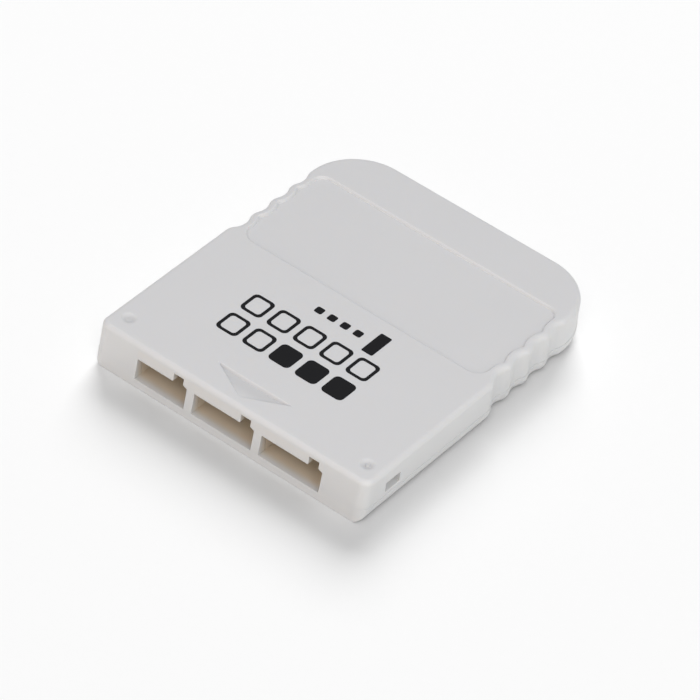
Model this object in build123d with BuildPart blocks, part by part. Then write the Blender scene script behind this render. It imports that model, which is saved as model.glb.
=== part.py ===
from build123d import *
from math import acos, asin, atan, cos, degrees, radians, sin
import os

# Console memory card: two moulded shells closed by one screw over a small circuit board.
# Millimetres. The connector end faces -Y, the label side faces +Z, z = 0 is the underside.

# Case, overall
case_width = 54.0
case_length = 64.0
case_height = 8.0
front_rake_deg = 6.0
front_corner_radius = 1.8
rear_corner_radius = 10.0
top_edge_radius = 0.9
bottom_edge_radius = 2.0

# How the shells part and how thick they are
parting_height = 2.6
shell_step = 0.06
roof_thickness = 1.4
floor_thickness = 1.4
wall_at_grip = 1.3
rear_wall = 1.8
front_wall = 1.8
tongue_thickness = 0.8
tongue_height = 0.9
shell_clearance = 0.1

# Scalloped finger grips, the first valley measured from the connector end
grip_first_valley = 35.9
grip_pitch = 5.0
grip_count = 4
grip_inset = 0.65
grip_depth = 0.55
grip_crest_radius = 2.4

# Label recess on top, set out from the first and last valley of the grips
recess_ahead_of_grip = 3.05
recess_behind_grip = 2.95
recess_depth = 0.4
recess_bevel = 0.3
recess_rim = 1.55
recess_crest_radius = 0.4
recess_front_radius = 2.5
recess_rear_radius = 1.8

# Insertion arrow and the two moulding dimples
arrow_width = 15.0
arrow_base = 6.7
arrow_tip = 2.6
arrow_depth = 0.4
dimple_diameter = 2.6
dimple_floor_diameter = 1.1
dimple_depth = 0.3
dimple_from_side = 3.1
dimple_from_front = 4.6
gate_nub_diameter = 0.7
gate_nub_height = 0.12

# Connector windows, left to right as seen from the connector end
window_widths = (10.0, 12.0, 12.0)
divider_width = 1.5
window_below_board = 0.1
key_width = 2.0
key_height = 1.5
key_from_edge = 0.85
key_chamfer = 0.35

# Retention notches in the sides
notch_from_front = 5.8
notch_length = 3.7
notch_above_parting = 0.6
notch_height = 2.0
notch_depth = 1.3

# Shallow label seat on the underside
seat_width = 42.0
seat_length = 34.0
seat_depth = 0.3
seat_from_front = 12.0
seat_corner_radius = 2.0

# Ribs round the contact bays in the lower shell
bay_depth = 11.0
bay_cross_rib = 1.2
bay_side_rib = 1.5

# Circuit board, its locating pins and their posts
board_thickness = 1.2
board_setback = 1.2
board_side_gap = 1.35
board_to_boss = 7.25
board_corner_radius = 1.0
pin_diameter = 2.0
pin_clearance = 0.1
pin_from_side = 3.5
pin_from_rear = 4.0
pin_entry = 2.0
post_wall = 1.05

# Contact fingers under the front of the board
contact_pitch = 4.0
contact_width = 2.2
contact_length = 6.0
contact_thickness = 0.05
contact_inset = 0.5

# Case screw with its cup in the lower shell and its boss in the upper one
screw_from_rear = 12.0
screw_core_diameter = 1.7
screw_length = 4.2
screw_tip_length = 0.8
screw_tip_diameter = 0.6
screw_head_diameter = 4.2
screw_head_height = 1.4
screw_head_chamfer = 0.5
screw_slot_length = 2.4
screw_slot_width = 0.6
screw_slot_depth = 0.7
screw_seat = 2.0
screw_cup_floor = 1.4
screw_cup_wall = 1.2
screw_boss_diameter = 5.5
screw_head_clearance = 0.4
screw_hole_clearance = 0.35
screw_pilot_clearance = 0.05
screw_pilot_spare = 0.3

# Storage chip and controller, soldered under the board
chip_row_gap = 12.3
chip_standoff = 0.15
chip_chamfer = 0.25
pin_mark_diameter = 1.2
pin_mark_depth = 0.15
pin_mark_inset = 1.6
lead_thickness = 0.2
memory_from_side = 4.5
memory_length = 18.0
memory_width = 8.4
memory_height = 2.4
memory_lead_count = 14
memory_lead_pitch = 1.27
memory_lead_width = 0.42
memory_lead_reach = 1.4
controller_from_side = 7.0
controller_side = 7.0
controller_height = 1.6
controller_lead_count = 6
controller_lead_pitch = 1.0
controller_lead_width = 0.4
controller_lead_reach = 1.0

# Small parts in a row between the contact bays and the chips
small_row_gap = 3.0
chip_part_length = 2.0
chip_part_width = 1.25
chip_part_cap = 0.4
resistor_first_x = -12.5
resistor_pitch = 2.1
resistor_count = 6
resistor_height = 0.55
capacitor_first_x = 0.4
capacitor_pitch = 2.1
capacitor_count = 3
capacitor_height = 0.9
resonator_x = 9.8
resonator_length = 7.4
resonator_width = 3.4
resonator_height = 1.8
resonator_round = 0.6
resonator_pad_width = 1.0
resonator_pad_pitch = 2.5
resonator_pad_count = 3
pad_thickness = 0.2
tantalum_from_side = 4.0
tantalum_length = 3.5
tantalum_width = 2.8
tantalum_height = 1.9
tantalum_chamfer = 0.3
tantalum_tab_length = 1.0
tantalum_tab_width = 2.2
diode_from_side = 3.5
diode_length = 2.7
diode_width = 1.6
diode_height = 1.1
diode_lead_width = 0.6
diode_lead_reach = 0.5
transistor_length = 2.9
transistor_width = 1.3
transistor_height = 1.0
transistor_lead_pitch = 1.9
transistor_lead_width = 0.4
transistor_lead_reach = 0.5
small_chamfer = 0.12

# Heights and half-widths that follow from the sizes above
front = -case_length / 2
rear = case_length / 2
lower_half_width = case_width / 2
upper_half_width = lower_half_width - shell_step
upper_rear = rear - shell_step
ceiling = case_height - roof_thickness
board_under = ceiling - board_thickness
window_head = board_under - window_below_board
valley_half_width = upper_half_width - grip_inset - grip_depth
cavity_half_width = valley_half_width - wall_at_grip
cavity_front = front + front_wall
cavity_rear = upper_rear - rear_wall
outline_lead_in = front_wall + front_corner_radius
bottom_round = min(bottom_edge_radius, 0.9 * grip_crest_radius, 0.9 * parting_height)

# Angles of the scallop arcs, and the valleys they leave
grip_swing = 2 * atan(2 * grip_depth / grip_pitch)
grip_radii = grip_pitch / 2 / sin(grip_swing)
grip_valley_radius = grip_radii - grip_crest_radius
entry_swing = acos(1 - (grip_inset + grip_depth) / grip_radii)
grip_start = front + grip_first_valley - grip_radii * sin(entry_swing)
first_valley = front + grip_first_valley
last_valley = first_valley + (grip_count - 1) * grip_pitch

# Places of the windows, the board, the screw and the rows of soldered parts
window_span = sum(window_widths) + divider_width * (len(window_widths) - 1)
window_starts = [
    -window_span / 2 + sum(window_widths[:index]) + index * divider_width
    for index in range(len(window_widths))
]
divider_centres = [start - divider_width / 2 for start in window_starts[1:]]
screw_y = rear - screw_from_rear
screw_cup_top = screw_seat + screw_cup_floor
screw_tip_height = screw_seat + screw_length
board_half_width = cavity_half_width - board_side_gap
board_front = cavity_front + board_setback
board_rear = screw_y - screw_boss_diameter / 2 - board_to_boss
board_mid = (board_front + board_rear) / 2
pin_x = board_half_width - pin_from_side
pin_y = board_rear - pin_from_rear
pin_hole_diameter = pin_diameter + 2 * pin_clearance
post_diameter = pin_hole_diameter + 2 * post_wall
pin_places = [(-pin_x, pin_y), (pin_x, pin_y)]
bay_front = cavity_front + shell_clearance
bay_rear = front + bay_depth
bay_end = bay_rear + bay_cross_rib
small_row_y = bay_end + small_row_gap
chip_row_y = bay_end + chip_row_gap
resistor_xs = [resistor_first_x + index * resistor_pitch for index in range(resistor_count)]
capacitor_xs = [capacitor_first_x + index * capacitor_pitch for index in range(capacitor_count)]
tantalum_x = board_half_width - tantalum_from_side
diode_x = diode_from_side - board_half_width
memory_x = memory_from_side + memory_length / 2 - board_half_width
controller_x = board_half_width - controller_from_side - controller_side / 2
memory_end = memory_x + memory_length / 2
controller_start = controller_x - controller_side / 2 - controller_lead_reach
transistor_x = (memory_end + controller_start) / 2
contact_counts = [int((width - contact_width) // contact_pitch) + 1 for width in window_widths]


def draw_half_outline(half_width, rear_y):
    """Right half of a shell's plan: plain side, scalloped grip, rounded rear corner."""
    start_y = front - outline_lead_in
    Line((0, start_y), (half_width, start_y))
    side = Line((half_width, start_y), (half_width, grip_start))
    arc = JernArc(side @ 1, (0, 1), grip_crest_radius, degrees(entry_swing))
    arc = JernArc(arc @ 1, arc % 1, grip_valley_radius, -degrees(entry_swing + grip_swing))
    for _ in range(grip_count - 1):
        arc = JernArc(arc @ 1, arc % 1, grip_crest_radius, degrees(2 * grip_swing))
        arc = JernArc(arc @ 1, arc % 1, grip_valley_radius, -degrees(2 * grip_swing))
    arc = JernArc(arc @ 1, arc % 1, grip_crest_radius, degrees(grip_swing))
    grip_end = arc @ 1
    corner = min(rear_corner_radius, 0.95 * (rear_y - grip_end.Y))
    side = Line(grip_end, (grip_end.X, rear_y - corner))
    turn = JernArc(side @ 1, (0, 1), corner, 90)
    Line(turn @ 1, (0, rear_y))


def draw_half_recess():
    """Right half of the label recess, whose side runs along the scallops."""
    side_x = valley_half_width - recess_rim
    front_y = first_valley - recess_ahead_of_grip
    rear_y = last_valley + recess_behind_grip
    valley_radius = grip_valley_radius + recess_rim
    swing = degrees(asin(grip_pitch / 2 / (valley_radius + recess_crest_radius)))
    edge = Line((0, front_y), (side_x - recess_front_radius, front_y))
    turn = JernArc(edge @ 1, (1, 0), recess_front_radius, 90)
    side = Line(turn @ 1, (side_x, first_valley))
    arc = JernArc(side @ 1, (0, 1), valley_radius, -swing)
    for _ in range(grip_count - 2):
        arc = JernArc(arc @ 1, arc % 1, recess_crest_radius, 2 * swing)
        arc = JernArc(arc @ 1, arc % 1, valley_radius, -2 * swing)
    arc = JernArc(arc @ 1, arc % 1, recess_crest_radius, 2 * swing)
    arc = JernArc(arc @ 1, arc % 1, valley_radius, -swing)
    side = Line(arc @ 1, ((arc @ 1).X, rear_y - recess_rear_radius))
    turn = JernArc(side @ 1, (0, 1), recess_rear_radius, 90)
    Line(turn @ 1, (0, rear_y))


def draw_cavity(inset, front_y):
    """Plan of the hollow between the walls, drawn in by an inset."""
    half_width = cavity_half_width - inset
    rear_y = cavity_rear - inset
    with Locations((0, (front_y + rear_y) / 2)):
        Rectangle(2 * half_width, rear_y - front_y)
    fillet(vertices().group_by(Axis.Y)[-1], radius=rear_corner_radius - rear_wall - inset)


def trim_to_front(half_width):
    """Trim a shell to the raked connector face with its two rounded upright corners."""
    rake = radians(front_rake_deg)
    rear_y = rear + case_height
    with BuildSketch() as plan:
        with Locations((0, (front + rear_y) / 2)):
            Rectangle(2 * half_width, rear_y - front)
        fillet(plan.vertices().group_by(Axis.Y)[0], radius=front_corner_radius)
    extrude(plan.sketch, amount=case_height / cos(rake), dir=(0, sin(rake), cos(rake)), mode=Mode.INTERSECT)


def make_lead(reach, width, body_height):
    """One bent lead, pointing along +X from the side of a body that hangs under the board."""
    middle = board_under - chip_standoff - body_height / 2
    half = lead_thickness / 2
    knee = reach / 3
    with BuildPart() as lead:
        with BuildSketch(Plane.XZ):
            with BuildLine():
                Polyline(
                    (0, middle + half),
                    (knee, middle + half),
                    (knee + half, board_under),
                    (reach, board_under),
                    (reach, board_under - lead_thickness),
                    (knee + half + lead_thickness, board_under - lead_thickness),
                    (knee + lead_thickness, middle - half),
                    (0, middle - half),
                    close=True,
                )
            make_face()
        extrude(amount=width / 2, both=True)
    return lead.part


def row_steps(count, pitch):
    """Offsets of a row of equal steps, centred on zero."""
    return [(index - (count - 1) / 2) * pitch for index in range(count)]


# Cutter for the insertion arrow: deepest near its sloped base, running out at its tip
with BuildPart() as arrow_cutter:
    with BuildSketch(Plane.YZ):
        with BuildLine():
            Polyline(
                (front + arrow_tip, case_height),
                (front + arrow_base - arrow_depth, case_height - arrow_depth),
                (front + arrow_base, case_height),
                close=True,
            )
        make_face()
    extrude(amount=arrow_width / 2, both=True)
    with BuildSketch(Plane.XY.offset(case_height - arrow_depth)):
        with BuildLine():
            Polyline(
                (-arrow_width / 2, front + arrow_base),
                (arrow_width / 2, front + arrow_base),
                (0, front + arrow_tip),
                close=True,
            )
        make_face()
    extrude(amount=arrow_depth, mode=Mode.INTERSECT)

# Upper shell
with BuildPart() as top_shell:
    with BuildSketch(Plane.XY.offset(parting_height)):
        with BuildLine():
            draw_half_outline(upper_half_width, upper_rear)
            mirror(about=Plane.YZ)
        make_face()
    extrude(amount=case_height - parting_height)

    # Front skirt that carries the window dividers down to the lower shell's floor
    with BuildSketch(Plane.XY.offset(floor_thickness)):
        with Locations((0, (front + cavity_front) / 2)):
            Rectangle(window_span, front_wall)
    extrude(amount=parting_height - floor_thickness)
    trim_to_front(upper_half_width)
    fillet(top_shell.faces().sort_by(Axis.Z)[-1].edges(), radius=top_edge_radius)

    # Hollow under the roof
    with BuildSketch(Plane.XY.offset(parting_height)):
        draw_cavity(0, cavity_front)
    extrude(amount=ceiling - parting_height, mode=Mode.SUBTRACT)

    # Connector windows, each with a key notch in the lip beside its right-hand edge
    with BuildSketch(Plane.XZ.offset(-cavity_front)):
        for start, width in zip(window_starts, window_widths):
            end = start + width
            key_end = end - key_from_edge
            with BuildLine():
                Polyline(
                    (start, floor_thickness),
                    (end, floor_thickness),
                    (end, window_head),
                    (key_end, window_head + key_chamfer),
                    (key_end, window_head + key_height),
                    (key_end - key_width, window_head + key_height),
                    (key_end - key_width, window_head),
                    (start, window_head),
                    close=True,
                )
            make_face()
    extrude(amount=front_wall, mode=Mode.SUBTRACT)

    # Retention notches
    with BuildSketch(Plane.XY.offset(parting_height + notch_above_parting)):
        for side in (-1, 1):
            notch_x = side * (upper_half_width - notch_depth / 2)
            with Locations((notch_x, front + notch_from_front + notch_length / 2)):
                Rectangle(notch_depth, notch_length)
    extrude(amount=notch_height, mode=Mode.SUBTRACT)

    # Label recess with its bevelled rim, and the arrow
    with BuildSketch(Plane.XY.offset(case_height)):
        with BuildLine():
            draw_half_recess()
            mirror(about=Plane.YZ)
        make_face()
    extrude(amount=-recess_depth, mode=Mode.SUBTRACT)
    rim = top_shell.faces().sort_by(Axis.Z)[-1].inner_wires()[0]
    chamfer(rim.edges(), length=recess_bevel)
    add(arrow_cutter.part, mode=Mode.SUBTRACT)

    # Two dished dimples, the right one with the stub of the moulding gate
    dimple_x = lower_half_width - dimple_from_side
    dimple_y = front + dimple_from_front
    with Locations((-dimple_x, dimple_y, case_height), (dimple_x, dimple_y, case_height)):
        Cone(
            bottom_radius=dimple_floor_diameter / 2,
            top_radius=dimple_diameter / 2,
            height=dimple_depth,
            align=(Align.CENTER, Align.CENTER, Align.MAX),
            mode=Mode.SUBTRACT,
        )
    with BuildSketch(Plane.XY.offset(case_height - dimple_depth)):
        with Locations((dimple_x, dimple_y)):
            Circle(gate_nub_diameter / 2)
    extrude(amount=gate_nub_height)

    # Board pins and screw boss under the roof
    pin_tip = board_under - pin_entry
    with BuildSketch(Plane.XY.offset(pin_tip)):
        with Locations(*pin_places):
            Circle(pin_diameter / 2)
    extrude(amount=ceiling - pin_tip)
    with BuildSketch(Plane.XY.offset(screw_cup_top)):
        with Locations((0, screw_y)):
            Circle(screw_boss_diameter / 2)
    extrude(amount=ceiling - screw_cup_top)
    with BuildSketch(Plane.XY.offset(screw_cup_top)):
        with Locations((0, screw_y)):
            Circle(screw_core_diameter / 2 + screw_pilot_clearance)
    extrude(amount=screw_tip_height + screw_pilot_spare - screw_cup_top, mode=Mode.SUBTRACT)

# Lower shell
with BuildPart() as bottom_shell:
    with BuildSketch():
        with BuildLine():
            draw_half_outline(lower_half_width, rear)
            mirror(about=Plane.YZ)
        make_face()
    extrude(amount=parting_height)
    underside = bottom_shell.faces().sort_by(Axis.Z)[0]
    fillet(underside.edges().filter_by_position(Axis.Y, front, rear), radius=bottom_round)
    trim_to_front(lower_half_width)

    # Hollow, and the tongue that stands inside the upper shell's walls
    with BuildSketch(Plane.XY.offset(floor_thickness)):
        draw_cavity(shell_clearance + tongue_thickness, cavity_front)
    extrude(amount=parting_height - floor_thickness, mode=Mode.SUBTRACT)
    with BuildSketch(Plane.XY.offset(parting_height)) as tongue:
        draw_cavity(shell_clearance, bay_end)
    with BuildSketch(Plane.XY.offset(parting_height), mode=Mode.PRIVATE) as tongue_core:
        draw_cavity(shell_clearance + tongue_thickness, bay_end)
    extrude(amount=tongue_height)
    extrude(tongue_core.sketch, amount=tongue_height, mode=Mode.SUBTRACT)

    # Opening in the front wall for the upper shell's dividers
    with BuildSketch(Plane.XY.offset(floor_thickness)):
        with Locations((0, (front + cavity_front) / 2)):
            Rectangle(window_span, front_wall)
    extrude(amount=parting_height - floor_thickness, mode=Mode.SUBTRACT)

    # Ribs round the contact bays, which carry the front of the board
    with BuildSketch(Plane.XY.offset(floor_thickness)):
        rib_mid = (bay_front + bay_end) / 2
        side_rib_x = (window_span + bay_side_rib) / 2
        with Locations(*[(x, rib_mid) for x in divider_centres]):
            Rectangle(divider_width, bay_end - bay_front)
        with Locations((-side_rib_x, rib_mid), (side_rib_x, rib_mid)):
            Rectangle(bay_side_rib, bay_end - bay_front)
        with Locations((0, bay_rear + bay_cross_rib / 2)):
            Rectangle(window_span, bay_cross_rib)
    extrude(amount=board_under - floor_thickness)

    # Posts that carry the rear of the board and take its pins
    with BuildSketch(Plane.XY.offset(floor_thickness)):
        with Locations(*pin_places):
            Circle(post_diameter / 2)
    extrude(amount=board_under - floor_thickness)
    with BuildSketch(Plane.XY.offset(board_under)):
        with Locations(*pin_places):
            Circle(pin_hole_diameter / 2)
    extrude(amount=-pin_entry - shell_clearance, mode=Mode.SUBTRACT)

    # Screw cup, its head pocket and its hole
    head_pocket = screw_head_diameter / 2 + screw_head_clearance
    with BuildSketch(Plane.XY.offset(floor_thickness)):
        with Locations((0, screw_y)):
            Circle(head_pocket + screw_cup_wall)
    extrude(amount=screw_cup_top - floor_thickness)
    with BuildSketch():
        with Locations((0, screw_y)):
            Circle(head_pocket)
    extrude(amount=screw_seat, mode=Mode.SUBTRACT)
    with BuildSketch(Plane.XY.offset(screw_seat)):
        with Locations((0, screw_y)):
            Circle(screw_core_diameter / 2 + screw_hole_clearance)
    extrude(amount=screw_cup_floor, mode=Mode.SUBTRACT)

    # Label seat on the underside
    with BuildSketch():
        with Locations((0, front + seat_from_front + seat_length / 2)):
            RectangleRounded(seat_width, seat_length, seat_corner_radius)
    extrude(amount=seat_depth, mode=Mode.SUBTRACT)

# Circuit board with its two pin holes
with BuildPart() as circuit_board:
    with BuildSketch(Plane.XY.offset(board_under)):
        with Locations((0, board_mid)):
            RectangleRounded(2 * board_half_width, board_rear - board_front, board_corner_radius)
        with Locations(*pin_places):
            Circle(pin_hole_diameter / 2, mode=Mode.SUBTRACT)
    extrude(amount=board_thickness)

# Contact fingers, one group to each window
with BuildPart() as contact_pads:
    contact_y = board_front + contact_inset + contact_length / 2
    with BuildSketch(Plane.XY.offset(board_under)):
        for start, width, count in zip(window_starts, window_widths, contact_counts):
            window_mid = start + width / 2
            with Locations(*[(window_mid + step, contact_y) for step in row_steps(count, contact_pitch)]):
                Rectangle(contact_width, contact_length)
    extrude(amount=-contact_thickness)

# Storage chip with leads along both long sides
memory_top = board_under - chip_standoff
with BuildPart() as memory_chip:
    with BuildSketch(Plane.XY.offset(memory_top)):
        with Locations((memory_x, chip_row_y)):
            Rectangle(memory_length, memory_width)
    extrude(amount=-memory_height)
    chamfer(memory_chip.edges().filter_by(Plane.XY), length=chip_chamfer)
    with BuildSketch(Plane.XY.offset(memory_top - memory_height)):
        with Locations((memory_x - memory_length / 2 + pin_mark_inset, chip_row_y)):
            Circle(pin_mark_diameter / 2)
    extrude(amount=pin_mark_depth, mode=Mode.SUBTRACT)

memory_lead = make_lead(memory_lead_reach, memory_lead_width, memory_height)
with BuildPart() as memory_leads:
    for turn in (90, -90):
        lead_y = chip_row_y + memory_width / 2 * (1 if turn > 0 else -1)
        for step in row_steps(memory_lead_count, memory_lead_pitch):
            with Locations(Location((memory_x + step, lead_y, 0), (0, 0, turn))):
                add(memory_lead)

# Controller with leads along all four sides
controller_top = board_under - chip_standoff
with BuildPart() as controller_chip:
    with BuildSketch(Plane.XY.offset(controller_top)):
        with Locations((controller_x, chip_row_y)):
            Rectangle(controller_side, controller_side)
    extrude(amount=-controller_height)
    chamfer(controller_chip.edges().filter_by(Plane.XY), length=chip_chamfer)
    mark_offset = controller_side / 2 - pin_mark_inset
    with BuildSketch(Plane.XY.offset(controller_top - controller_height)):
        with Locations((controller_x - mark_offset, chip_row_y - mark_offset)):
            Circle(pin_mark_diameter / 2)
    extrude(amount=pin_mark_depth, mode=Mode.SUBTRACT)

controller_lead = make_lead(controller_lead_reach, controller_lead_width, controller_height)
with BuildPart() as controller_leads:
    for turn in (0, 90, 180, 270):
        bank = Location((controller_x, chip_row_y, 0), (0, 0, turn))
        for step in row_steps(controller_lead_count, controller_lead_pitch):
            with Locations(bank * Location((controller_side / 2, step, 0))):
                add(controller_lead)

# Ceramic resonator on its three pads
with BuildPart() as clock_resonator:
    with BuildSketch(Plane.XY.offset(board_under - pad_thickness)):
        with Locations((resonator_x, small_row_y)):
            RectangleRounded(resonator_length, resonator_width, resonator_round)
    extrude(amount=-resonator_height)

with BuildPart() as resonator_pads:
    with BuildSketch(Plane.XY.offset(board_under)):
        pad_steps = row_steps(resonator_pad_count, resonator_pad_pitch)
        with Locations(*[(resonator_x + step, small_row_y) for step in pad_steps]):
            Rectangle(resonator_pad_width, resonator_width)
    extrude(amount=-pad_thickness)

# Chip resistors and capacitors: bodies, then the tinned caps at both ends
chip_body_length = chip_part_length - 2 * chip_part_cap
cap_step = (chip_body_length + chip_part_cap) / 2
with BuildPart() as chip_resistors:
    with BuildSketch(Plane.XY.offset(board_under)):
        with Locations(*[(x, small_row_y) for x in resistor_xs]):
            Rectangle(chip_part_width, chip_body_length)
    extrude(amount=-resistor_height)

with BuildPart() as resistor_caps:
    with BuildSketch(Plane.XY.offset(board_under)):
        for end in (-cap_step, cap_step):
            with Locations(*[(x, small_row_y + end) for x in resistor_xs]):
                Rectangle(chip_part_width, chip_part_cap)
    extrude(amount=-resistor_height)

with BuildPart() as chip_capacitors:
    with BuildSketch(Plane.XY.offset(board_under)):
        with Locations(*[(x, small_row_y) for x in capacitor_xs]):
            Rectangle(chip_part_width, chip_body_length)
    extrude(amount=-capacitor_height)

with BuildPart() as capacitor_caps:
    with BuildSketch(Plane.XY.offset(board_under)):
        for end in (-cap_step, cap_step):
            with Locations(*[(x, small_row_y + end) for x in capacitor_xs]):
                Rectangle(chip_part_width, chip_part_cap)
    extrude(amount=-capacitor_height)

# Tantalum capacitor on two tabs
with BuildPart() as tantalum_capacitor:
    with BuildSketch(Plane.XY.offset(board_under - pad_thickness)):
        with Locations((tantalum_x, small_row_y)):
            Rectangle(tantalum_length, tantalum_width)
    extrude(amount=-tantalum_height)
    chamfer(tantalum_capacitor.edges().group_by(Axis.Z)[0], length=tantalum_chamfer)

with BuildPart() as tantalum_tabs:
    tab_step = (tantalum_length - tantalum_tab_length) / 2
    with BuildSketch(Plane.XY.offset(board_under)):
        with Locations((tantalum_x - tab_step, small_row_y), (tantalum_x + tab_step, small_row_y)):
            Rectangle(tantalum_tab_length, tantalum_tab_width)
    extrude(amount=-pad_thickness)

# Protection diode with a lead at each end
with BuildPart() as protection_diode:
    with BuildSketch(Plane.XY.offset(board_under - chip_standoff)):
        with Locations((diode_x, small_row_y)):
            Rectangle(diode_length, diode_width)
    extrude(amount=-diode_height)
    chamfer(protection_diode.edges().group_by(Axis.Z)[0], length=small_chamfer)

diode_lead = make_lead(diode_lead_reach, diode_lead_width, diode_height)
with BuildPart() as diode_leads:
    for turn, side in ((0, 1), (180, -1)):
        with Locations(Location((diode_x + side * diode_length / 2, small_row_y, 0), (0, 0, turn))):
            add(diode_lead)

# Reset transistor between the two chips, two leads on one side and one on the other
with BuildPart() as reset_transistor:
    with BuildSketch(Plane.XY.offset(board_under - chip_standoff)):
        with Locations((transistor_x, chip_row_y)):
            Rectangle(transistor_width, transistor_length)
    extrude(amount=-transistor_height)
    chamfer(reset_transistor.edges().group_by(Axis.Z)[0], length=small_chamfer)

transistor_lead = make_lead(transistor_lead_reach, transistor_lead_width, transistor_height)
with BuildPart() as transistor_leads:
    half = transistor_width / 2
    with Locations(Location((transistor_x + half, chip_row_y, 0))):
        add(transistor_lead)
    for step in row_steps(2, transistor_lead_pitch):
        with Locations(Location((transistor_x - half, chip_row_y + step, 0), (0, 0, 180))):
            add(transistor_lead)

# Case screw, head down in the lower shell's cup
with BuildPart() as case_screw:
    head_low = screw_seat - screw_head_height
    with BuildSketch(Plane.XZ.offset(-screw_y)):
        with BuildLine():
            Polyline(
                (0, head_low),
                (screw_head_diameter / 2, head_low),
                (screw_head_diameter / 2, screw_seat),
                (screw_core_diameter / 2, screw_seat),
                (screw_core_diameter / 2, screw_tip_height - screw_tip_length),
                (screw_tip_diameter / 2, screw_tip_height),
                (0, screw_tip_height),
                close=True,
            )
        make_face()
    revolve(axis=Axis((0, screw_y, 0), (0, 0, 1)))
    chamfer(case_screw.edges().group_by(Axis.Z)[0], length=screw_head_chamfer)
    with BuildSketch(Plane.XY.offset(head_low)):
        with Locations((0, screw_y)):
            Rectangle(screw_slot_length, screw_slot_width)
            Rectangle(screw_slot_width, screw_slot_length)
    extrude(amount=screw_slot_depth, mode=Mode.SUBTRACT)

# One STEP file to each piece
pieces = {
    "top_shell": top_shell,
    "bottom_shell": bottom_shell,
    "circuit_board": circuit_board,
    "contact_pads": contact_pads,
    "memory_chip": memory_chip,
    "memory_leads": memory_leads,
    "controller_chip": controller_chip,
    "controller_leads": controller_leads,
    "clock_resonator": clock_resonator,
    "resonator_pads": resonator_pads,
    "chip_resistors": chip_resistors,
    "resistor_caps": resistor_caps,
    "chip_capacitors": chip_capacitors,
    "capacitor_caps": capacitor_caps,
    "tantalum_capacitor": tantalum_capacitor,
    "tantalum_tabs": tantalum_tabs,
    "protection_diode": protection_diode,
    "diode_leads": diode_leads,
    "reset_transistor": reset_transistor,
    "transistor_leads": transistor_leads,
    "case_screw": case_screw,
}
os.makedirs("parts", exist_ok=True)
for name, piece in pieces.items():
    piece.part.label = name
    export_step(piece.part, f"parts/{name}.step")
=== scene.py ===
"""Looks of a console memory card: its finishes, its print, and the studio that it lies in."""
import logging
import math
from abc import ABC, abstractmethod
from dataclasses import dataclass
from enum import Enum
from typing import Iterable

import bmesh
import bpy
from mathutils import Matrix, Vector


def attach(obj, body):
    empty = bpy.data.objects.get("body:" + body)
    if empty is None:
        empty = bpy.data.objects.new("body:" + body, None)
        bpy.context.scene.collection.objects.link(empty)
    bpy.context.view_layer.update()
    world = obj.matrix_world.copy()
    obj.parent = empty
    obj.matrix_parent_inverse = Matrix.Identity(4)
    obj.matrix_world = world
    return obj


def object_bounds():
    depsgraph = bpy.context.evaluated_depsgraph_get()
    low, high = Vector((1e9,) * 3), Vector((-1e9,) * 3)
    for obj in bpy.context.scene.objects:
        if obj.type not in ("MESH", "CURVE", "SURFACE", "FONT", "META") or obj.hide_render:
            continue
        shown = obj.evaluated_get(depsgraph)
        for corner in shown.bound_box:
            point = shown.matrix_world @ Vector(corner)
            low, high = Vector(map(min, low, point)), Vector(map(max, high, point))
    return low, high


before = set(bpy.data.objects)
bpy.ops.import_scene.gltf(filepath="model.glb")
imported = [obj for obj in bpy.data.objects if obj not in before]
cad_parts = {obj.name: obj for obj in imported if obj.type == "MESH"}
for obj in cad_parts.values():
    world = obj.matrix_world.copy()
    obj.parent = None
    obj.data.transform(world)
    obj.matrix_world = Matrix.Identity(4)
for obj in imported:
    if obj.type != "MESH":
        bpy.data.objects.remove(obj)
cad_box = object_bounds()

log = logging.getLogger("memory_card")

Triple = tuple[float, float, float]
Colour = Triple
Span = tuple[float, float]
Socket = bpy.types.NodeSocket
Inputs = dict[str | int, object]

MM = 0.001
BODY = "root"
IMAGE_SIDE_PX = 700
SENSOR_MM = 36.0
QUARTER_TURN = math.radians(90)

# From none to all and back again, and the stretch where most values of a noise lie
RISING: Span = (0.0, 1.0)
FALLING: Span = (1.0, 0.0)
NOISE_SPAN: Span = (0.3, 0.7)


class Slot(Enum):
    """The record's material slots."""

    INK = "print_ink"


class Reach(Enum):
    """What a light falls on."""

    CARD = "card"
    FLOOR = "floor"


class MixKind(Enum):
    """What a Mix node mixes: its data type, then the numbers of its two inputs and of its output."""

    VECTOR = ("VECTOR", 4, 5, 1)
    COLOUR = ("RGBA", 6, 7, 2)


def shaded(colour: Colour, factor: float) -> Colour:
    """Return a colour made lighter or darker by a factor."""
    return tuple(min(1.0, channel * factor) for channel in colour)


def shade_pair(colour: Colour, variation: float) -> tuple[Colour, Colour]:
    """Return a colour made darker and lighter by the same variation."""
    return shaded(colour, 1 - variation), shaded(colour, 1 + variation)


def opaque(colour: Colour) -> tuple[float, float, float, float]:
    """Return a colour with full alpha, as colour sockets take it."""
    return (*colour, 1.0)


def compass(azimuth_deg: float, elevation_deg: float) -> Vector:
    """Give the direction that points from the card to a place around it.

    Args:
        azimuth_deg: 0 is in front of the connector end, 90 is to the card's right.
        elevation_deg: height above the horizon.

    Returns:
        A unit vector.
    """
    azimuth, elevation = math.radians(azimuth_deg), math.radians(elevation_deg)
    flat = math.cos(elevation)
    return Vector((math.sin(azimuth) * flat, -math.cos(azimuth) * flat, math.sin(elevation)))


def put_in_scene(name: str, data: bpy.types.ID) -> bpy.types.Object:
    """Put a new object into the scene.

    Args:
        name: the object's name.
        data: its mesh, light or camera.

    Returns:
        The object.
    """
    thing = bpy.data.objects.new(name, data)
    bpy.context.scene.collection.objects.link(thing)
    return thing


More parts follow.
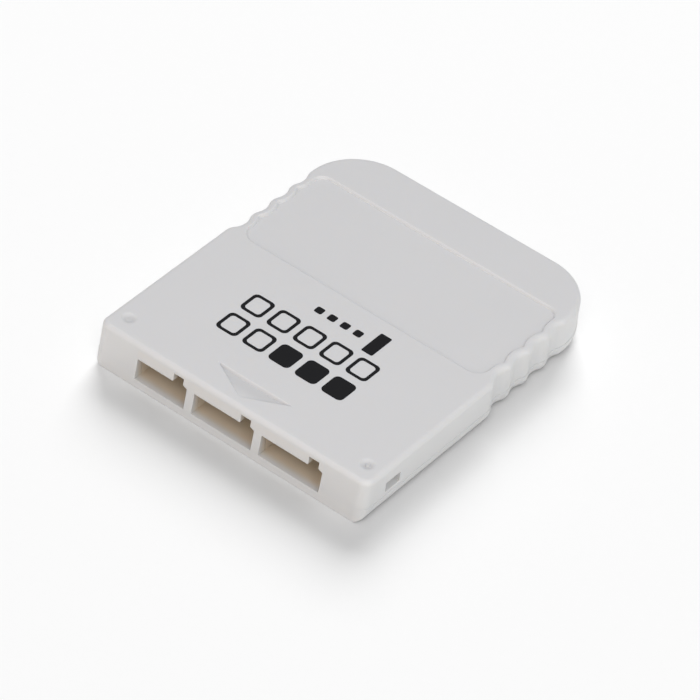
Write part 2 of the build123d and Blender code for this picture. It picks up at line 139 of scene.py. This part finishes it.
class NodeSheet:
    """The node tree of one new material, with short calls to add and join nodes."""

    def __init__(self, name: str) -> None:
        """Start a material that holds only a principled shader.

        Args:
            name: the material's name.
        """
        self.material = bpy.data.materials.new(name)
        self.material.use_nodes = True
        self.nodes = self.material.node_tree.nodes
        self.links = self.material.node_tree.links
        self.shader = self.nodes["Principled BSDF"]

    def feed(self, node: bpy.types.Node, inputs: Inputs) -> None:
        """Set or link a node's inputs.

        Args:
            node: the node to feed.
            inputs: by input name or number, a value to set or a socket to link from.
        """
        for key, value in inputs.items():
            if isinstance(value, Socket):
                self.links.new(value, node.inputs[key])
            else:
                node.inputs[key].default_value = value

    def add(self, kind: str, inputs: Inputs | None = None, **settings: object) -> bpy.types.Node:
        """Add a node.

        Args:
            kind: the node's type, without its ShaderNode prefix.
            inputs: what its inputs are set to or linked from.
            settings: the node's own properties.

        Returns:
            The new node.
        """
        node = self.nodes.new("ShaderNode" + kind)
        for name, value in settings.items():
            setattr(node, name, value)
        self.feed(node, inputs or {})
        return node

    def reckon(self, operation: str, *values: object) -> Socket:
        """Return the result of one Math operation on numbers or sockets."""
        return self.add("Math", dict(enumerate(values)), operation=operation).outputs[0]

    def place_mm(self, stretch: Triple = (1.0, 1.0, 1.0)) -> Socket:
        """Give the place on the card in millimetres.

        Args:
            stretch: a factor for each axis, to draw a pattern out or press it together.

        Returns:
            The vector socket.
        """
        place = self.add("TexCoord").outputs["Object"]
        factors = [share / MM for share in stretch]
        return self.add("VectorMath", {0: place, 1: factors}, operation="MULTIPLY").outputs["Vector"]

    def noise(self, place: Socket, per_mm: float, detail: float = 2.0) -> Socket:
        """Return soft noise from 0 to 1, with so many blobs to a millimetre and so many finer layers."""
        inputs = {"Vector": place, "Scale": per_mm, "Detail": detail}
        return self.add("TexNoise", inputs).outputs["Fac"]

    def span(self, value: Socket, source: Span, target: Span) -> Socket:
        """Map a range of values smoothly onto another range.

        Args:
            value: the value to map.
            source: its low and high ends.
            target: what those ends become.

        Returns:
            The mapped value.
        """
        inputs = {
            "Value": value,
            "From Min": source[0],
            "From Max": source[1],
            "To Min": target[0],
            "To Max": target[1],
        }
        return self.add("MapRange", inputs, interpolation_type="SMOOTHSTEP").outputs["Result"]

    def product(self, values: Iterable[Socket]) -> Socket:
        """Multiply values.

        Args:
            values: the values to multiply.

        Returns:
            Their product.
        """
        result, *others = values
        for value in others:
            result = self.reckon("MULTIPLY", result, value)
        return result

    def within(self, value: Socket, rise: Span, fall: Span) -> Socket:
        """Return 1 between a soft rise and a soft fall, and 0 outside them."""
        return self.product((self.span(value, rise, RISING), self.span(value, fall, FALLING)))

    def from_front(self, place: Socket) -> tuple[Socket, Socket, Socket]:
        """Measure a place from the card's middle line, its connector end and its underside.

        Args:
            place: where on the card, in millimetres.

        Returns:
            The distances across, inward and up, in millimetres.
        """
        x, y, z = self.add("SeparateXYZ", {0: place}).outputs
        across = self.reckon("ABSOLUTE", x)
        inward = self.reckon("SUBTRACT", y, cad_box[0].y / MM)
        return across, inward, z

    def join(self, kind: MixKind, share: Socket, first: object, second: object) -> Socket:
        """Add a Mix node.

        Args:
            kind: what it mixes.
            share: how much there is of the second.
            first: a value or a socket.
            second: a value or a socket.

        Returns:
            The mixed value.
        """
        data_type, first_input, second_input, output = kind.value
        inputs = {"Factor": share, first_input: first, second_input: second}
        return self.add("Mix", inputs, data_type=data_type).outputs[output]

    def mix(self, share: Socket, first: Colour | Socket, second: Colour | Socket) -> Socket:
        """Return a mix of two colours, where the share says how much there is of the second."""
        colours = [opaque(colour) if isinstance(colour, tuple) else colour for colour in (first, second)]
        return self.join(MixKind.COLOUR, share, *colours)

    def blend(self, share: Socket, first: Socket, second: Socket) -> Socket:
        """Return a blend of two vectors, where the share says how much there is of the second."""
        return self.join(MixKind.VECTOR, share, first, second)

    def bump(self, height: Socket, depth: float, normal: Socket | None = None) -> Socket:
        """Turn a height into a bumped normal.

        Args:
            height: the height, from 0 to 1.
            depth: the depth of the bumps in metres.
            normal: the normal to start from.

        Returns:
            The bumped normal.
        """
        inputs = {"Height": height, "Distance": depth}
        if normal is not None:
            inputs["Normal"] = normal
        return self.add("Bump", inputs).outputs["Normal"]


@dataclass(frozen=True)
class Region:
    """A stretch of the card with soft ends, measured across, inward and up, in millimetres."""

    across_fall: Span
    inward_rise: Span
    inward_fall: Span
    height_rise: Span
    height_fall: Span

    def mask(self, sheet: NodeSheet, place: Socket) -> Socket:
        """Tell how far inside the region a place lies.

        Args:
            sheet: the material to work in.
            place: where on the card, in millimetres.

        Returns:
            A value from 0 outside the region to 1 well inside it.
        """
        across, inward, height = sheet.from_front(place)
        shares = (
            sheet.span(across, self.across_fall, FALLING),
            sheet.within(inward, self.inward_rise, self.inward_fall),
            sheet.within(height, self.height_rise, self.height_fall),
        )
        return sheet.product(shares)


# The hollow behind the connector windows, where the plastic gets a painted warm shade
CONTACT_BAYS = Region(
    across_fall=(18.5, 18.7),
    inward_rise=(0.3, 2.2),
    inward_fall=(12.2, 12.6),
    height_rise=(1.2, 1.4),
    height_fall=(6.9, 7.1),
)

# The arrow and the two dimples in the card's top, which get a painted shade
SUNK_MARKS = Region(
    across_fall=(25.7, 25.9),
    inward_rise=(1.4, 1.6),
    inward_fall=(8.6, 8.8),
    height_rise=(7.2, 7.4),
    height_fall=(7.72, 7.97),
)


class Finish(ABC):
    """A surface finish that makes its own material."""

    @abstractmethod
    def make(self) -> bpy.types.Material:
        """Make the finish's material."""


@dataclass(frozen=True)
class CasePlastic(Finish):
    """Light grey moulded plastic: satin, finely grained, a little see-through, with painted warm shade in
    the contact bays, painted shade in the arrow and dimples, and painted highlights on sharp edges.
    """

    colour: Colour = (0.625, 0.622, 0.620)
    # Painted warm shade: a tan tint where shade and warm bounce light fall inside the contact bays
    bay_painted_shade: Colour = (0.70, 0.60, 0.48)
    bays: Region = CONTACT_BAYS
    # Painted shade: the arrow and the dimples are darkened by the mark shade factor
    marks: Region = SUNK_MARKS
    mark_shade: float = 0.9
    cloud_per_mm: float = 0.09
    cloud_variation: float = 0.012
    grain_per_mm: float = 6.0
    grain_detail: float = 3.0
    grain_depth: float = 4.0e-6
    roughness: Span = (0.36, 0.44)
    edge_round: float = 0.25 * MM
    edge_samples: int = 6
    # Painted highlight: sharp edges, found through the Bevel normal, are lightened to this colour
    edge_colour: Colour = (0.80, 0.795, 0.79)
    edge_highlight_span: Span = (0.82, 0.99)
    seam_span_mm: Span = (2.7, 3.1)
    depth_share: float = 0.2
    depth_reach: Colour = (1.0, 0.82, 0.62)
    depth_scale: float = 0.9 * MM

    def make(self) -> bpy.types.Material:
        """Make the plastic's material.

        Returns:
            The material.
        """
        sheet = NodeSheet("case_plastic_moulded")
        place = sheet.place_mm()
        cloud = sheet.noise(place, self.cloud_per_mm)
        tone = sheet.mix(cloud, *shade_pair(self.colour, self.cloud_variation))
        grain = sheet.noise(place, self.grain_per_mm, self.grain_detail)
        flat = sheet.add("NewGeometry").outputs["Normal"]
        soft = sheet.add("Bevel", {"Radius": self.edge_round}, samples=self.edge_samples).outputs["Normal"]
        height = sheet.add("SeparateXYZ", {0: place}).outputs["Z"]
        # Above the seam height the Bevel normal marks sharp edges for a painted highlight; below it the
        # plain normal is kept
        rounded = sheet.blend(sheet.span(height, self.seam_span_mm, RISING), flat, soft)
        alike = sheet.add("VectorMath", {0: rounded, 1: flat}, operation="DOT_PRODUCT").outputs["Value"]
        edge_painted_highlight = sheet.mix(sheet.span(alike, self.edge_highlight_span, FALLING), tone, self.edge_colour)
        # Painted shade in the arrow and the dimples
        painted_mark_shade = sheet.mix(self.marks.mask(sheet, place), edge_painted_highlight, shaded(self.colour, self.mark_shade))
        sheet.feed(
            sheet.shader,
            {
                # Painted warm shade over the contact bays
                "Base Color": sheet.mix(self.bays.mask(sheet, place), painted_mark_shade, self.bay_painted_shade),
                "Roughness": sheet.span(grain, NOISE_SPAN, self.roughness),
                "Normal": sheet.bump(grain, self.grain_depth, rounded),
                "Subsurface Weight": self.depth_share,
                "Subsurface Radius": self.depth_reach,
                "Subsurface Scale": self.depth_scale,
            },
        )
        return sheet.material


@dataclass(frozen=True)
class PrintInk(Finish):
    """Black screen-printed ink, a little uneven."""

    colour: Colour = (0.009, 0.009, 0.010)
    thin_colour: Colour = (0.016, 0.016, 0.017)
    mesh_per_mm: float = 5.0
    roughness: Span = (0.6, 0.75)
    gloss: float = 0.05
    mesh_depth: float = 3.0e-6

    def make(self) -> bpy.types.Material:
        """Make the ink's material.

        Returns:
            The material.
        """
        sheet = NodeSheet("print_ink_black")
        weave = sheet.noise(sheet.place_mm(), self.mesh_per_mm)
        sheet.feed(
            sheet.shader,
            {
                "Base Color": sheet.mix(weave, self.colour, self.thin_colour),
                "Roughness": sheet.span(weave, NOISE_SPAN, self.roughness),
                "Specular IOR Level": self.gloss,
                "Normal": sheet.bump(weave, self.mesh_depth),
            },
        )
        return sheet.material


@dataclass(frozen=True)
class BoardLaminate(Finish):
    """Solder mask over copper tracks, with bare woven laminate along the board's edges."""

    mask_colour: Colour = (0.022, 0.075, 0.030)
    track_colour: Colour = (0.045, 0.135, 0.052)
    edge_colour: Colour = (0.20, 0.155, 0.085)
    face_span: Span = (0.4, 0.6)
    track_length_mm: float = 7.0
    track_pitch_mm: float = 0.9
    track_gap_mm: float = 0.16
    track_softness: float = 0.1
    weave_per_mm: float = 3.0
    weave_shades: Span = (0.8, 1.15)
    roughness: float = 0.32
    track_depth: float = 1.8e-5

    def make(self) -> bpy.types.Material:
        """Make the board's material.

        Returns:
            The material.
        """
        sheet = NodeSheet("board_laminate_masked")
        place = sheet.place_mm()
        tracks = sheet.add(
            "TexBrick",
            {
                "Vector": place,
                "Scale": 1.0,
                "Brick Width": self.track_length_mm,
                "Row Height": self.track_pitch_mm,
                "Mortar Size": self.track_gap_mm,
                "Mortar Smooth": self.track_softness,
            },
        ).outputs["Fac"]
        facing = sheet.add("SeparateXYZ", {0: sheet.add("NewGeometry").outputs["Normal"]}).outputs["Z"]
        flat = sheet.reckon("ABSOLUTE", facing)
        weave = sheet.noise(place, self.weave_per_mm)
        dark, light = (shaded(self.edge_colour, factor) for factor in self.weave_shades)
        edge = sheet.mix(weave, dark, light)
        masked = sheet.mix(tracks, self.track_colour, self.mask_colour)
        sheet.feed(
            sheet.shader,
            {
                "Base Color": sheet.mix(sheet.span(flat, self.face_span, RISING), edge, masked),
                "Roughness": self.roughness,
                "Normal": sheet.bump(sheet.span(tracks, RISING, FALLING), self.track_depth),
            },
        )
        return sheet.material


@dataclass(frozen=True)
class PlatedMetal(Finish):
    """Plated or bare metal with fine rubbed lines along one axis."""

    name: str
    colour: Colour
    roughness: Span = (0.22, 0.38)
    line_stretch: Triple = (1.0, 0.08, 1.0)
    lines_per_mm: float = 9.0
    line_shades: Span = (0.9, 1.06)
    line_depth: float = 2.0e-6

    def make(self) -> bpy.types.Material:
        """Make the metal's material.

        Returns:
            The material.
        """
        sheet = NodeSheet(self.name)
        lines = sheet.noise(sheet.place_mm(self.line_stretch), self.lines_per_mm)
        dark, light = (shaded(self.colour, factor) for factor in self.line_shades)
        sheet.feed(
            sheet.shader,
            {
                "Base Color": sheet.mix(lines, dark, light),
                "Metallic": 1.0,
                "Roughness": sheet.span(lines, NOISE_SPAN, self.roughness),
                "Normal": sheet.bump(lines, self.line_depth),
            },
        )
        return sheet.material


@dataclass(frozen=True)
class PartBody(Finish):
    """Moulded resin or fired ceramic of a small electronic part, finely speckled."""

    name: str
    colour: Colour
    speckle: float = 0.18
    speckles_per_mm: float = 7.0
    speckle_detail: float = 4.0
    roughness: Span = (0.45, 0.6)
    speckle_depth: float = 6.0e-6

    def make(self) -> bpy.types.Material:
        """Make the body's material.

        Returns:
            The material.
        """
        sheet = NodeSheet(self.name)
        speckles = sheet.noise(sheet.place_mm(), self.speckles_per_mm, self.speckle_detail)
        sheet.feed(
            sheet.shader,
            {
                "Base Color": sheet.mix(speckles, *shade_pair(self.colour, self.speckle)),
                "Roughness": sheet.span(speckles, NOISE_SPAN, self.roughness),
                "Normal": sheet.bump(speckles, self.speckle_depth),
            },
        )
        return sheet.material


@dataclass(frozen=True)
class StudioPaper(Finish):
    """Pale seamless paper under the card."""

    colour: Colour = (0.93, 0.93, 0.93)
    fibre_per_mm: float = 0.6
    fibre_detail: float = 3.0
    fibre_variation: float = 0.004
    roughness: float = 0.9
    gloss: float = 0.1

    def make(self) -> bpy.types.Material:
        """Make the paper's material.

        Returns:
            The material.
        """
        sheet = NodeSheet("studio_paper")
        fibre = sheet.noise(sheet.place_mm(), self.fibre_per_mm, self.fibre_detail)
        sheet.feed(
            sheet.shader,
            {
                "Base Color": sheet.mix(fibre, *shade_pair(self.colour, self.fibre_variation)),
                "Roughness": self.roughness,
                "Specular IOR Level": self.gloss,
            },
        )
        return sheet.material


def dress(node: str, material: bpy.types.Material) -> None:
    """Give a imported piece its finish.

    Args:
        node: the piece's name.
        material: the material for all its slots.
    """
    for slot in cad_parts[node].material_slots:
        slot.material = material
    log.info("dressed %s in %s", node, material.name)


@dataclass(frozen=True)
class Case:
    """The two moulded shells and the screw that closes them."""

    plastic: Finish = CasePlastic()
    screw: Finish = PlatedMetal("screw_steel_zinc", (0.56, 0.56, 0.57), line_stretch=(1.0, 1.0, 0.1))

    def dress(self) -> None:
        """Give the shells and the screw their finishes."""
        plastic = self.plastic.make()
        dress("top_shell", plastic)
        dress("bottom_shell", plastic)
        dress("case_screw", self.screw.make())


@dataclass(frozen=True)
class BoardAssembly:
    """The circuit board with its contacts and soldered parts."""

    laminate: Finish = BoardLaminate()
    gold: Finish = PlatedMetal("contact_gold_plated", (0.83, 0.60, 0.22))
    tin: Finish = PlatedMetal("lead_tin_plated", (0.70, 0.70, 0.68), roughness=(0.3, 0.5))
    epoxy: Finish = PartBody("chip_epoxy_black", (0.022, 0.022, 0.024))
    ceramic: Finish = PartBody("resonator_ceramic_pale", (0.62, 0.55, 0.43), speckle=0.06)
    brown_ceramic: Finish = PartBody("capacitor_ceramic_brown", (0.30, 0.19, 0.10), speckle=0.1)
    yellow_resin: Finish = PartBody("tantalum_resin_yellow", (0.66, 0.40, 0.06), speckle=0.05)

    def dress(self) -> None:
        """Give every piece on the board its finish."""
        pieces: dict[Finish, list[str]] = {
            self.laminate: ["circuit_board"],
            self.gold: ["contact_pads"],
            self.tin: [
                "memory_leads",
                "controller_leads",
                "resonator_pads",
                "resistor_caps",
                "capacitor_caps",
                "tantalum_tabs",
                "diode_leads",
                "transistor_leads",
            ],
            self.epoxy: [
                "memory_chip",
                "controller_chip",
                "chip_resistors",
                "protection_diode",
                "reset_transistor",
            ],
            self.ceramic: ["clock_resonator"],
            self.brown_ceramic: ["chip_capacitors"],
            self.yellow_resin: ["tantalum_capacitor"],
        }
        for finish, nodes in pieces.items():
            material = finish.make()
            for node in nodes:
                dress(node, material)


@dataclass(frozen=True)
class BlockPrint:
    """Black printed blocks on the case's top: two rows of cells, a bar and a row of dots.

    Sizes are in millimetres, and rows are measured from the connector end.
    """

    centre_x: float = -0.6
    first_row: float = 15.0
    row_pitch: float = 6.1
    rows: int = 2
    columns: int = 5
    column_pitch: float = 5.3
    cell_width: float = 4.2
    cell_length: float = 4.6
    cell_corner: float = 0.9
    stroke: float = 0.6
    solid_cells: int = 3
    bar_x: float = 8.0
    bar_width: float = 2.2
    bar_length: float = 5.4
    bar_corner: float = 0.3
    last_row: float = 27.2
    dot_count: int = 4
    dot_side: float = 1.5
    dot_pitch: float = 2.6
    dot_corner: float = 0.35
    ink_thickness: float = 0.012
    corner_steps: int = 6
    ink: Finish = PrintInk()

    def outline(self, x: float, y: float, width: float, length: float, corner: float) -> list[Vector]:
        """Draw a rounded rectangle.

        Args:
            x: its centre across the card.
            y: its centre from the connector end.
            width: its size across the card.
            length: its size along the card.
            corner: the radius of its corners.

        Returns:
            Its points, in metres, on the case's top.
        """
        front, top = cad_box[0].y, cad_box[1].z
        points = []
        for quarter, (side_x, side_y) in enumerate(((1, 1), (-1, 1), (-1, -1), (1, -1))):
            middle_x = x + side_x * (width / 2 - corner)
            middle_y = y + side_y * (length / 2 - corner)
            for step in range(self.corner_steps + 1):
                angle = QUARTER_TURN * (quarter + step / self.corner_steps)
                place_x = middle_x + corner * math.cos(angle)
                place_y = middle_y + corner * math.sin(angle)
                points.append(Vector((place_x * MM, place_y * MM + front, top)))
        return points

    def lay(self, ink: bmesh.types.BMesh, outer: list[Vector], inner: list[Vector] | None = None) -> None:
        """Lay one closed film of ink.

        Args:
            ink: the mesh to add to.
            outer: the film's outline.
            inner: the outline of its opening, for a ring.
        """
        rise = Vector((0, 0, self.ink_thickness * MM))
        loops = [outer] if inner is None else [outer, inner]
        low = [[ink.verts.new(point) for point in loop] for loop in loops]
        high = [[ink.verts.new(point + rise) for point in loop] for loop in loops]
        count = len(outer)
        sides = [(index, (index + 1) % count) for index in range(count)]
        for start, end in sides:
            ink.faces.new((low[0][start], low[0][end], high[0][end], high[0][start]))
        if inner is None:
            ink.faces.new(high[0])
            ink.faces.new(low[0][::-1])
            return
        for start, end in sides:
            ink.faces.new((low[1][end], low[1][start], high[1][start], high[1][end]))
            ink.faces.new((high[0][start], high[0][end], high[1][end], high[1][start]))
            ink.faces.new((low[0][end], low[0][start], low[1][start], low[1][end]))

    def lay_cells(self, ink: bmesh.types.BMesh) -> None:
        """Lay the rows of cells, the first ones solid and the rest as rings.

        Args:
            ink: the mesh to add to.
        """
        cells = [(row, column) for row in range(self.rows) for column in range(self.columns)]
        for number, (row, column) in enumerate(cells):
            x = self.centre_x - (column - (self.columns - 1) / 2) * self.column_pitch
            y = self.first_row + row * self.row_pitch
            outer = self.outline(x, y, self.cell_width, self.cell_length, self.cell_corner)
            inner = self.outline(
                x,
                y,
                self.cell_width - 2 * self.stroke,
                self.cell_length - 2 * self.stroke,
                self.cell_corner - self.stroke / 2,
            )
            self.lay(ink, outer, None if number < self.solid_cells else inner)

    def lay_last_row(self, ink: bmesh.types.BMesh) -> None:
        """Lay the bar and the dots beside it.

        Args:
            ink: the mesh to add to.
        """
        bar = self.outline(self.bar_x, self.last_row, self.bar_width, self.bar_length, self.bar_corner)
        self.lay(ink, bar)
        for step in range(1, self.dot_count + 1):
            x = self.bar_x - self.bar_width / 2 - step * self.dot_pitch
            self.lay(ink, self.outline(x, self.last_row, self.dot_side, self.dot_side, self.dot_corner))

    def build(self) -> bpy.types.Object:
        """Print the motif on the case.

        Returns:
            The printed piece.
        """
        ink = bmesh.new()
        self.lay_cells(ink)
        self.lay_last_row(ink)
        mesh = bpy.data.meshes.new("block_print")
        ink.to_mesh(mesh)
        ink.free()
        piece = put_in_scene("block_print", mesh)
        mesh.materials.append(self.ink.make())
        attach(piece, BODY)
        log.info("built %s with %d faces", piece.name, len(mesh.polygons))
        return piece


@dataclass(frozen=True)
class SoftBox:
    """A square soft light that faces the card. Sizes in metres."""

    name: str
    reach: Reach
    azimuth_deg: float
    elevation_deg: float
    distance: float
    side: float
    power: float
    colour: Colour = (1.0, 1.0, 1.0)

    def build(self, target: Vector, lit: Iterable[bpy.types.Object]) -> None:
        """Set the light up.

        Args:
            target: the point that it faces.
            lit: the pieces that it falls on.
        """
        lamp = bpy.data.lights.new(self.name, "AREA")
        lamp.shape = "SQUARE"
        lamp.size = self.side
        lamp.energy = self.power
        lamp.color = self.colour
        light = put_in_scene(self.name, lamp)
        away = compass(self.azimuth_deg, self.elevation_deg)
        light.location = target + away * self.distance
        light.rotation_euler = away.to_track_quat("Z", "Y").to_euler()
        receivers = bpy.data.collections.new(self.name + "_receivers")
        for piece in lit:
            receivers.objects.link(piece)
        light.light_linking.receiver_collection = receivers
        log.info("lit %s", self.name)


@dataclass(frozen=True)
class PhotoCamera:
    """The camera that takes the card from the photograph's place. Sizes in metres."""

    azimuth_deg: float = 33.085
    elevation_deg: float = 41.602
    roll_deg: float = 7.671
    distance: float = 743.722 * MM
    target: Triple = (3.289 * MM, -4.974 * MM, 4.0 * MM)
    focal_px: float = 4703.066
    nearest: float = 0.01

    def build(self) -> None:
        """Set the camera up and make it the scene's."""
        data = bpy.data.cameras.new("photo_camera")
        data.sensor_width = SENSOR_MM
        data.lens = self.focal_px / IMAGE_SIDE_PX * SENSOR_MM
        data.clip_start = self.nearest
        camera = put_in_scene("photo_camera", data)
        back = compass(self.azimuth_deg, self.elevation_deg)
        roll = Matrix.Rotation(math.radians(self.roll_deg), 3, "Z").to_quaternion()
        camera.rotation_mode = "QUATERNION"
        camera.rotation_quaternion = back.to_track_quat("Z", "Y") @ roll
        camera.location = Vector(self.target) + back * self.distance
        bpy.context.scene.camera = camera


@dataclass(frozen=True)
class Studio:
    """The pale floor, the soft light round the card and the camera. Sizes in metres."""

    floor_side: float = 4.0
    floor_drop: float = 0.02 * MM
    paper: Finish = StudioPaper()
    sky_colour: Colour = (1.0, 1.0, 1.0)
    sky_strength: float = 0.35
    backdrop_colour: Colour = (0.96, 0.96, 0.96)
    backdrop_strength: float = 1.0
    lights: tuple[SoftBox, ...] = (
        SoftBox(
            "floor_softbox",
            Reach.FLOOR,
            azimuth_deg=210.0,
            elevation_deg=33.0,
            distance=8.0,
            side=4.4,
            power=605.0,
        ),
        SoftBox(
            "floor_fill",
            Reach.FLOOR,
            azimuth_deg=33.0,
            elevation_deg=60.0,
            distance=6.0,
            side=4.0,
            power=100.0,
        ),
        SoftBox(
            "top_softbox",
            Reach.CARD,
            azimuth_deg=213.0,
            elevation_deg=80.0,
            distance=0.8,
            side=0.8,
            power=1.8,
            colour=(0.84, 0.87, 1.0),
        ),
        SoftBox(
            "right_softbox",
            Reach.CARD,
            azimuth_deg=80.0,
            elevation_deg=38.0,
            distance=0.8,
            side=0.9,
            power=3.4,
            colour=(0.975, 1.0, 1.0),
        ),
        SoftBox(
            "front_softbox",
            Reach.CARD,
            azimuth_deg=0.0,
            elevation_deg=34.0,
            distance=0.8,
            side=0.9,
            power=2.95,
            colour=(1.0, 0.91, 0.84),
        ),
        SoftBox(
            "left_softbox",
            Reach.CARD,
            azimuth_deg=-100.0,
            elevation_deg=40.0,
            distance=0.8,
            side=0.9,
            power=0.4,
            colour=(0.85, 0.93, 1.0),
        ),
    )
    camera: PhotoCamera = PhotoCamera()

    def build_floor(self) -> bpy.types.Object:
        """Lay the floor just under the card.

        Returns:
            The floor.
        """
        half = self.floor_side / 2
        corners = [(-half, -half), (half, -half), (half, half), (-half, half)]
        mesh = bpy.data.meshes.new("studio_floor")
        mesh.from_pydata([(x, y, -self.floor_drop) for x, y in corners], [], [(0, 1, 2, 3)])
        mesh.materials.append(self.paper.make())
        floor = put_in_scene("studio_floor", mesh)
        return floor

    def build_sky(self) -> None:
        """Surround the card with even light, and with a pale backdrop for rays that pass the floor."""
        world = bpy.data.worlds.new("studio_sky")
        bpy.context.scene.world = world
        world.use_nodes = True
        nodes, links = world.node_tree.nodes, world.node_tree.links
        nodes.clear()
        path = nodes.new("ShaderNodeLightPath")
        seen = path.outputs["Is Camera Ray"]
        for ray in ("Is Glossy Ray", "Is Transmission Ray"):
            either = nodes.new("ShaderNodeMath")
            either.operation = "MAXIMUM"
            links.new(seen, either.inputs[0])
            links.new(path.outputs[ray], either.inputs[1])
            seen = either.outputs[0]
        choice = nodes.new("ShaderNodeMixShader")
        links.new(seen, choice.inputs[0])
        sky = (self.sky_colour, self.sky_strength)
        backdrop = (self.backdrop_colour, self.backdrop_strength)
        for number, (colour, strength) in enumerate((sky, backdrop), start=1):
            layer = nodes.new("ShaderNodeBackground")
            layer.inputs["Color"].default_value = opaque(colour)
            layer.inputs["Strength"].default_value = strength
            links.new(layer.outputs[0], choice.inputs[number])
        output = nodes.new("ShaderNodeOutputWorld")
        links.new(choice.outputs[0], output.inputs["Surface"])

    def build(self, card: list[bpy.types.Object]) -> None:
        """Build the floor, the light and the camera.

        Args:
            card: the card's pieces.
        """
        bpy.context.scene.view_settings.view_transform = "Standard"
        lit = {Reach.CARD: card, Reach.FLOOR: [self.build_floor()]}
        self.build_sky()
        middle = (cad_box[0] + cad_box[1]) / 2
        for light in self.lights:
            light.build(middle, lit[light.reach])
        self.camera.build()
        log.info("built the studio")


def main() -> None:
    """Dress the card, print on it and set it in the studio."""
    logging.basicConfig(level=logging.INFO, format="%(message)s")
    Case().dress()
    BoardAssembly().dress()
    printed = BlockPrint().build()
    Studio().build([*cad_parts.values(), printed])


if __name__ == "__main__":
    main()
